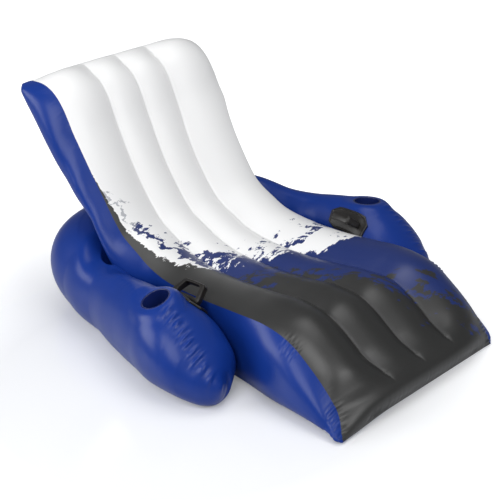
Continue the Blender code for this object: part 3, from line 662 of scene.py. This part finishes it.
white_part = sharp(tree, above_white, 0.0012)
navy_part = sharp(tree, above_navy, 0.0012)
in_band = near(tree, above_band, 0.052)
band_ends = math_node(
    tree, "MINIMUM", sharp(tree, math_node(tree, "SUBTRACT", 0.43, across), 0.09),
    sharp(tree, math_node(tree, "SUBTRACT", across, 0.175), 0.06),
)
streak_part = torn(tree, math_node(tree, "MULTIPLY_ADD", band_ends, 0.15, strokes), in_band, 0.20, 0.672)
pale_part = sharp(tree, math_node(tree, "SUBTRACT", math_node(tree, "ADD", along, tear), 1.195), 0.010)
fleck_part = torn(tree, flecks, near(tree, above_white, 0.055), 0.16, 0.70)
navy_flecks = torn(tree, strokes, near(tree, above_navy, 0.14), 0.16, 0.645)
navy_shown = math_node(tree, "ABSOLUTE", math_node(tree, "SUBTRACT", navy_part, navy_flecks))
ground = mix_colour(tree, navy_shown, charcoal, navy)
ground = mix_colour(tree, fleck_part, ground, white)
paper = mix_colour(tree, streak_part, white, mix_colour(tree, pale_part, navy, pale))
print_colour = mix_colour(tree, white_part, ground, paper)
tree.links.new(print_colour, print_shader.inputs["Base Color"])
print("print of", len(tree.nodes), "nodes")

# %% [markdown]
# ## The recliner's skins
# The recliner has four panels: the printed top, the blue back with the underside, and a blue side left and right.
# Rows are packed closer over the foot, where the puckers are, and the top's columns closer at the ribs' seams, where
# the valleys are sharp. Each panel says how its own points are lifted, and two panels that share a seam give the
# same height there.


# %% Recliner relief
@functools.cache
def arc_table(count=400):
    """Length along the lying surface's seam for even shares."""
    return lengths_along([seam_point(True, k / count) for k in range(count + 1)])


@functools.cache
def arc_at(share):
    """Length along the lying surface from its front edge, in metres."""
    return between(arc_table(), share)


def body_share(q):
    """Share of the recliner's stations for a grid row: half of the rows lie over the foot."""
    return 0.72 * q if q < 0.5 else 0.36 + 1.28 * (q - 0.5)


def side_seam_puckers(share, away, side):
    """Puckers of the seam between the lying surface and a side panel: at the hump, at the front and at the top."""
    depth = (
        0.0040 * bump(share, 0.232, 0.255, 0.018) + 0.0024 * bump(share, 0.02, 0.085, 0.03)
        + 0.0008 * bump(share, 0.80, 0.92, 0.05) + 0.0002
    )
    return puckers(arc_at(share), away, 0.016, 0.017, depth, side)


def low_seam_puckers(share, away, side):
    """Puckers of the seam between a side panel and the underside."""
    depth = 0.0020 * bump(share, 0.02, 0.10, 0.05) + 0.0010 * bump(share, 0.74, 0.90, 0.06)
    return puckers(arc_at(share), away, 0.026, 0.020, depth, side + 20)


def front_creases(across, x, away):
    """Creases that run up from the front edge, in two groups."""
    depth = 0.0010 + 0.0080 * bump(across, -0.72, -0.58, 0.07) + 0.0070 * bump(across, 0.70, 0.80, 0.08)
    shown = depth * bump(abs(across), 0.0, 0.9, 0.08) * (1 - math.exp(-((away / 0.007) ** 2)))
    return -puckers(x, away, 0.024, 0.034, shown, 5)


def rib_across(p):
    """Across share for a grid column: columns are packed closer at the ribs' seams."""
    seams = (-1.0, -rib_seam, 0.0, rib_seam, 1.0)
    rib = min(int(p * 4), 3)
    part = p * 4 - rib
    part = 0.45 * part + 0.55 * (0.5 - 0.5 * math.cos(math.pi * part))
    return seams[rib] + (seams[rib + 1] - seams[rib]) * part


def top_relief(p, q, point):
    """The lying surface: side seams, the gathered front edge, and a small dimple where each rib seam ends."""
    across, share = rib_across(p), body_share(q)
    along = arc_at(share)
    width = recliner_row(share)["top_width"]
    rise = side_seam_puckers(share, (1 - abs(across)) * width, 1 if across > 0 else -1)
    rise += front_creases(across, point.x, along)
    inside = bump((1 - abs(across)) * width, 0.035, 1, 0.03)
    for seam in (-rib_seam, 0.0, rib_seam):
        away = abs(across - seam) * width
        rise -= 0.0020 * math.exp(-((math.hypot(away, along - 0.110) / 0.009) ** 2))
        rise -= 0.0016 * math.exp(-((away / 0.006) ** 2)) * bump(share, 0.09, 0.93, 0.02)
    return rise + ripple(point, 0.12, 0.0012, 1.3) * inside * bump(share, 0.03, 0.97, 0.03)


def back_relief(p, q, point):
    """The underside and back: smooth, and flat where they lie on the floor."""
    share = body_share(q)
    side = 1 if p > 0.5 else -1
    away = min(p, 1 - p) * 2 * recliner_row(share)["back_width"]
    rise = low_seam_puckers(share, away, side)
    inside = bump(away, 0.035, 1, 0.03) * bump(point.z, 0.012, 2, 0.012) * bump(share, 0.03, 0.97, 0.03)
    return rise + ripple(point, 0.12, 0.0012, 4.1) * inside


def side_relief(side):
    """A side panel: it shares the puckers of its two seams."""

    def rise(p, q, point):
        share = body_share(q)
        row = recliner_row(share)
        height = math.dist(row["top"], row["back"])
        high, low = p * height, (1 - p) * height
        value = side_seam_puckers(share, high, side) * (1 - p) + low_seam_puckers(share, low, side) * p
        return value + ripple(point, 0.12, 0.0016, 2.2) * bump(min(high, low), 0.035, 1, 0.03)

    return rise


# %% Recliner skins
recliner_rows, top_columns, back_columns, side_columns = 400, 112, 48, 32
film_wall = 0.0012
recliner = new_chamber()
lay_panel(
    recliner, 0, top_columns, recliner_rows, lambda p, q: top_point(body_share(q), rib_across(p)), top_relief,
    lambda p, q: (0.5 + rib_across(p) * 0.37, arc_at(body_share(q))),
)
lay_panel(
    recliner, 1, back_columns, recliner_rows, lambda p, q: back_point(body_share(q), 2 * p - 1), back_relief,
    lambda p, q: (p * 0.74, arc_at(body_share(q))),
)
for side, number in ((-1, 2), (1, 3)):
    lay_panel(
        recliner, number, side_columns, recliner_rows, lambda p, q: side_point(body_share(q), p, side),
        side_relief(side), lambda p, q: (p * 0.3, arc_at(body_share(q))),
    )
inflate(recliner)
for number, name, material, slot in (
    (0, "recliner_top_film", printed_vinyl, "printed_vinyl"),
    (1, "recliner_back_film", blue_vinyl, "blue_vinyl"),
    (2, "recliner_side_film_left", blue_vinyl, "blue_vinyl"),
    (3, "recliner_side_film_right", blue_vinyl, "blue_vinyl"),
):
    node = name.replace("film", "panel")
    add_piece(name, take_panel(recliner, number), material, slot, node, wall=film_wall)
recliner_tree = BVHTree.FromBMesh(recliner)
recliner.free()

# %% [markdown]
# ## Webs inside the recliner
# Inside, three webs hold the film of the lying surface down along the ribs' seams. Nobody sees them in a full chair.
# The solids have flat ones, but the skins sag a little, so each web is laid as its own grid between the skins, and
# stays a few centimetres under the film.

# %% Webs inside
web_start, web_length, web_inset, web_wall = 0.16, 0.76, 0.04, 0.0008
web_columns, web_rows = 6, 120
for word, seam in (("left", -rib_seam), ("middle", 0.0), ("right", rib_seam)):
    web = new_chamber()
    lay_panel(
        web, 0, web_columns, web_rows,
        lambda p, q: top_point(web_start + web_length * q, seam).lerp(
            back_point(web_start + web_length * q, seam), web_inset + (1 - 2 * web_inset) * p
        ),
        lambda p, q, point: 0.0, lambda p, q: (p * 0.3, arc_at(web_start + web_length * q)),
    )
    inflate(web)
    add_piece("rib_web_" + word, web, clear_vinyl, "clear_vinyl", "tension_web_" + word, wall=web_wall)

# %% [markdown]
# ## The arms' skins
# The tube is two panels, an outer and an inner one, welded over the top and underneath. The weld over each nose is
# where the film gathers most, because the tube closes there on a tight curve. The rows of the grid are packed
# closer at the noses, so that the puckers have enough points. A round hole is opened for each cup.
#
# The recliner leans on the tube beside the backrest, and the film gives way in a soft fold. Two soft bodies could be
# pressed together in a simulation. Here the recliner's skin is kept as a search tree instead, and the tube's points
# are moved out of it, lowered beside it and smoothed, which is quick and always gives the same fold.


# %% Arm relief
@functools.cache
def arm_lengths(count=480):
    """Length along the arm path for even stations."""
    return lengths_along([arm_section(arm_last * k / count)[0] for k in range(count + 1)])


def arm_station(q):
    """Station for a grid row: rows are packed closer towards the two noses."""
    mirrored = min(q, 1 - q) * 2
    half = arm_last / 2 * (0.50 * mirrored + 0.50 * mirrored**2)
    return half if q <= 0.5 else arm_last - half


def arm_along(station):
    """Length along the arm path from the nearer nose's tip."""
    return between(arm_lengths(), min(station, arm_last - station) / arm_last)


def seam_angle(station):
    """Angle of the upper weld: it runs down the outside of each nose."""
    from_end = min(station, arm_last - station)
    return math.radians(75 - 16 * bump(from_end, 0, 1.2, 4.0) - 16 * bump(from_end, 0, 0.6, 1.6))


def packed(p):
    """Share of a panel's width for a grid column: columns are packed closer towards the two seams."""
    return 0.45 * p + 0.55 * (0.5 - 0.5 * math.cos(math.pi * p))


def arm_angle(p, station, inner):
    """Angle of a grid column on the outer or inner panel."""
    return seam_angle(station) + (math.pi if inner else -math.pi) * packed(p)


def arm_relief(inner):
    """Relief of one arm panel: nose puckers and, on the inner one, the creases inside the bend."""

    def rise(p, q, point):
        station = arm_station(q)
        from_end = min(station, arm_last - station)
        along = arm_along(station)
        half_height = arm_section(station)[3]
        above, below = packed(p) * math.pi * half_height, (1 - packed(p)) * math.pi * half_height
        side = 11 if station < arm_last / 2 else 12
        nose = bump(from_end, 0.45, 4.6, 0.4)
        clear = bump(cup_reach(point)[0], cup_radius + 0.018, 9, 0.012)
        value = puckers(along, above, 0.0225, 0.023, 0.0062 * nose + 0.0002, side, 4) * clear
        value += puckers(along, below, 0.022, 0.028, 0.0030 * nose, side + 2)
        bend = bump(from_end, 8.4, 10.4, 0.9) * math.sin(math.pi * p) ** 2
        if inner:
            value += puckers(along, abs(p - 0.5) * 0.3, 0.095, 0.10, 0.009 * bend, side + 4)
        loose = bump(point.z, 0.012, 2, 0.012) * clear
        return value + ripple(point, 0.14, 0.0024, 3.3) * loose

    return rise


def open_cups(film):
    """Cuts the round holes for the cups and draws the cut edge into a circle under the rim."""
    hole = cup_radius + 0.5 * cup_rim_width
    faces = []
    for face in film.faces:
        reach, _, local = cup_reach(face.calc_center_median())
        if reach < hole and local.z > -cup_depth / 2:
            faces.append(face)
    bmesh.ops.delete(film, geom=faces, context="FACES")
    for v in film.verts:
        reach, place, local = cup_reach(v.co)
        if v.is_boundary and local.z > -cup_depth / 2 and 0 < abs(reach - hole) < 0.012:
            v.co = place @ Vector((local.x * hole / reach, local.y * hole / reach, min(local.z, -0.0008)))


def press_arms(
    film, tree, gap=0.002, fold=0.030, sink=0.036, fold_reach=0.09, sink_reach=0.13, fold_floor=0.12, passes=8
):
    """Where the recliner leans on the tube, the film above the fold's floor sinks and gives way in a soft fold."""
    for v in film.verts:
        side = -1 if v.co.x < 0 else 1
        hit = tree.ray_cast(Vector((side, v.co.y, v.co.z)), Vector((-side, 0, 0)))[0]
        if hit is not None and v.co.y > 0.05 and abs(v.co.x) < abs(hit.x) + gap:
            v.co.x = hit.x + side * gap
    for v in film.verts:
        distance = tree.find_nearest(v.co, sink_reach)[3]
        if distance is not None and v.co.z > fold_floor:
            v.co.z -= sink * bump(v.co.y, 0.11, 0.34, 0.10) * bump(distance, -1, 0.01, 0.12)
    close = []
    for v in film.verts:
        nearest, _, _, distance = tree.find_nearest(v.co, fold_reach)
        if nearest is not None and v.co.y > 0.10 and v.co.z > fold_floor:
            away = (v.co - nearest).normalized()
            push = 0.5 * (math.hypot(distance, fold) - distance) * bump(v.co.y, 0.20, 9, 0.10)
            v.co += Vector((away.x, away.y, min(away.z, 0.0))) * push
            close.append(v)
    for _ in range(passes):
        bmesh.ops.smooth_vert(film, verts=close, factor=0.5, use_axis_x=True, use_axis_y=True, use_axis_z=True)
    print("points by the fold:", len(close))


# %% Arm skins
arm_rows, arm_columns = 760, 64
arms = new_chamber()
for inner in (False, True):
    lay_panel(
        arms, int(inner), arm_columns, arm_rows,
        lambda p, q: arm_point(arm_station(q), arm_angle(p, arm_station(q), inner)),
        arm_relief(inner), lambda p, q: (p * 0.5, arm_along(arm_station(q))),
    )
inflate(arms)
press_arms(arms, recliner_tree)
open_cups(arms)
for number, word in ((0, "outer"), (1, "inner")):
    film = take_panel(arms, number)
    add_piece("arm_film_" + word, film, blue_vinyl, "blue_vinyl", "arm_" + word + "_panel", wall=film_wall)
arms.free()

# %% [markdown]
# ## Cups
# A cup holder is a pressed vinyl beaker whose flat rim is welded to the film. A cylinder could be inset and pushed
# in, but a profile shows the rounded rim and foot at once. So the profile is drawn and spun round the cup's axis,
# and then the whole cup is set in its place on the arm.


# %% Spin the cups
def spun(profile, place, steps=96):
    """Spins a profile of radius and height pairs round Z, and puts it in place."""
    turned = bmesh.new()
    points = [turned.verts.new((radius, 0, height)) for radius, height in profile]
    edges = [turned.edges.new(pair) for pair in zip(points, points[1:])]
    bmesh.ops.spin(
        turned, geom=points + edges, axis=(0, 0, 1), cent=(0, 0, 0), angle=2 * math.pi, steps=steps, use_merge=True
    )
    bmesh.ops.remove_doubles(turned, verts=turned.verts, dist=1e-6)
    bmesh.ops.recalc_face_normals(turned, faces=turned.faces)
    bmesh.ops.transform(turned, matrix=place, verts=turned.verts)
    return turned


def rounded(corner, radius, start, end, count=5):
    """Points of a rounded corner, from one angle to another in degrees."""
    angles = [math.radians(start + (end - start) * k / count) for k in range(count + 1)]
    return [(corner[0] + radius * math.cos(a), corner[1] + radius * math.sin(a)) for a in angles]


rim = cup_radius + cup_rim_width
cup_profile = (
    [(0, -cup_depth + 0.002), (cup_foot_radius * 0.6, -cup_depth + 0.002)]
    + rounded((cup_foot_radius - 0.006, -cup_depth + 0.007), 0.006, -90, 0)
    + [(cup_radius - 0.0022, -0.012)]
    + rounded((cup_radius + 0.0008, -0.0020), 0.0022, 180, 90)
    + rounded((rim - 0.0002, -0.0012), 0.0014, 90, -60)
    + [(cup_radius + cup_wall, -cup_rim_thickness), (cup_foot_radius + cup_wall, -cup_depth - cup_wall * 0.6)]
    + [(0, -cup_depth - cup_wall)]
)
for side, word in ((-1, "left"), (1, "right")):
    cup = spun(cup_profile, cup_frame(side)[0])
    add_piece("drink_cup_" + word, cup, cup_vinyl_painted_shade, "blue_vinyl", "cup_holder_" + word)

# %% [markdown]
# ## Handles, strips and valves
# These small pieces already have their right shape as solids, but a solid's edges are knife sharp and its
# triangles are loose. They could be modelled again, but a copy keeps every seat and hinge where it is. The copy is
# merged, its flat parts are joined, and its edges get a small round, as a moulded piece has.


# %% Round the edges of copies
def rounded_copy(node, name, material, slot, body, radius, flat=3.0, sharp_angle=24.0):
    """A merged copy of a solid with rounded edges, which stands for it."""
    copy = bmesh.new()
    copy.from_mesh(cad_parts[node].data)
    bmesh.ops.remove_doubles(copy, verts=copy.verts, dist=1e-5)
    bmesh.ops.dissolve_limit(copy, angle_limit=math.radians(flat), verts=copy.verts, edges=copy.edges)
    edges = [e for e in copy.edges if e.is_manifold and e.calc_face_angle() > math.radians(sharp_angle)]
    bmesh.ops.bevel(
        copy, geom=edges, offset=radius, offset_type="OFFSET", segments=3, profile=0.5, affect="EDGES",
        clamp_overlap=True, material=-1,
    )
    add_piece(name, copy, material, slot, node, body=body)


for word in ("left", "right"):
    for node, name, material, slot, radius in (
        ("handle_patch_", "handle_plate_", black_vinyl, "black_vinyl", 0.0012),
        ("handle_grip_", "hand_grip_", black_vinyl, "black_vinyl", 0.0022),
        ("joining_strip_", "side_strip_", blue_vinyl, "blue_vinyl", 0.0005),
    ):
        rounded_copy(node + word, name + word, material, slot, "chair", radius)
for chamber in ("recliner", "arm"):
    for node, name, body, radius in (
        ("_valve_body", "_valve_stem", "chair", 0.0003),
        ("_valve_plug", "_valve_cap", chamber + "_plug", 0.0003),
        ("_valve_flap", "_check_flap", chamber + "_flap", 0.0002),
    ):
        rounded_copy(chamber + node, chamber + name, clear_vinyl, "clear_vinyl", body, radius)

# %% [markdown]
# ## Floor and light
# The chair stands on a plain white floor with a faint gloss. The floor gives back a little extra white to the
# camera alone, and more of it away from the chair, so the page is white while the shadow under the chair remains.
# More light on the chair would do it too, but would bleach the film.

# %% Floor
floor_radius, floor_drop = 14, 0.0005
floor_mesh = bpy.data.meshes.new("floor")
ground_disc = bmesh.new()
bmesh.ops.create_circle(ground_disc, cap_ends=True, segments=96, radius=floor_radius)
bmesh.ops.translate(ground_disc, verts=ground_disc.verts, vec=(0, 0, -floor_drop))
ground_disc.to_mesh(floor_mesh)
ground_disc.free()
floor = new_object("floor", floor_mesh)
floor_paint = bpy.data.materials.new("white floor")
floor_paint.use_nodes = True
tree = floor_paint.node_tree
shader = tree.nodes["Principled BSDF"]
shader.inputs["Base Color"].default_value = (0.78, 0.79, 0.81, 1)
shader.inputs["Roughness"].default_value = 0.12
shader.inputs["IOR"].default_value = 1.7
to_camera = add_node(tree, "ShaderNodeLightPath").outputs["Is Camera Ray"]
place = add_node(tree, "ShaderNodeMapping", Vector=object_place(tree), Location=(0.5, 0.15, 0))
from_chair = add_node(tree, "ShaderNodeVectorMath", operation="LENGTH")
tree.links.new(place.outputs["Vector"], from_chair.inputs[0])
white_range = {"From Min": 0.65, "From Max": 1.9, "To Min": 0.16, "To Max": 1.0}
far = add_node(tree, "ShaderNodeMapRange", Value=from_chair.outputs["Value"], **white_range)
page_white = math_node(tree, "MULTIPLY", to_camera, far.outputs["Result"])
glow = add_node(tree, "ShaderNodeEmission", Color=(1, 1, 1, 1), Strength=page_white)
both = tree.nodes.new("ShaderNodeAddShader")
tree.links.new(shader.outputs[0], both.inputs[0])
tree.links.new(glow.outputs[0], both.inputs[1])
tree.links.new(both.outputs[0], tree.nodes["Material Output"].inputs["Surface"])
floor_mesh.materials.append(floor_paint)
print("floor", 2 * floor_radius, "m wide")

# %% [markdown]
# Glossy film shows the shape of every lamp, so all four are large and soft. The key lamp on the sitter's right and
# the front one draw the broad highlights on the noses and the foot. The rear one lights the blue side of the
# backrest, and the top one lifts the ribs. A dim world fills the rest, and is plain white for the camera.


# %% Lamps and world
def soft_lamp(name, place, target, width, height, power):
    """A rectangular area lamp that looks at a target."""
    light = bpy.data.lights.new(name, "AREA")
    light.shape = "RECTANGLE"
    light.size, light.size_y, light.energy = width, height, power
    lamp = new_object(name, light)
    lamp.location = place
    lamp.rotation_euler = (Vector(target) - Vector(place)).to_track_quat("-Z", "Y").to_euler()
    print("lamp", name, power, "W")


soft_lamp("key", (-3.3, -1.3, 3.0), (0, 0, 0.3), 2.3, 2.3, 74)
soft_lamp("front", (-0.6, -4.3, 3.0), (0, 0.2, 0.4), 3.0, 1.8, 80)
soft_lamp("rear", (-4.0, 2.9, 2.2), (0, 0.2, 0.3), 3.2, 2.6, 125)
soft_lamp("top", (0.0, -0.2, 4.4), (0, 0, 0.2), 3.2, 3.0, 66)

world = bpy.data.worlds.new("studio")
bpy.context.scene.world = world
world.use_nodes = True
tree = world.node_tree
tree.nodes.clear()
to_camera = add_node(tree, "ShaderNodeLightPath").outputs["Is Camera Ray"]
room = add_node(tree, "ShaderNodeBackground", Color=(0.95, 0.97, 1.0, 1), Strength=0.19)
page = add_node(tree, "ShaderNodeBackground", Color=(1, 1, 1, 1), Strength=1.0)
mixed = tree.nodes.new("ShaderNodeMixShader")
tree.links.new(to_camera, mixed.inputs[0])
tree.links.new(room.outputs[0], mixed.inputs[1])
tree.links.new(page.outputs[0], mixed.inputs[2])
world_out = tree.nodes.new("ShaderNodeOutputWorld")
tree.links.new(mixed.outputs[0], world_out.inputs["Surface"])
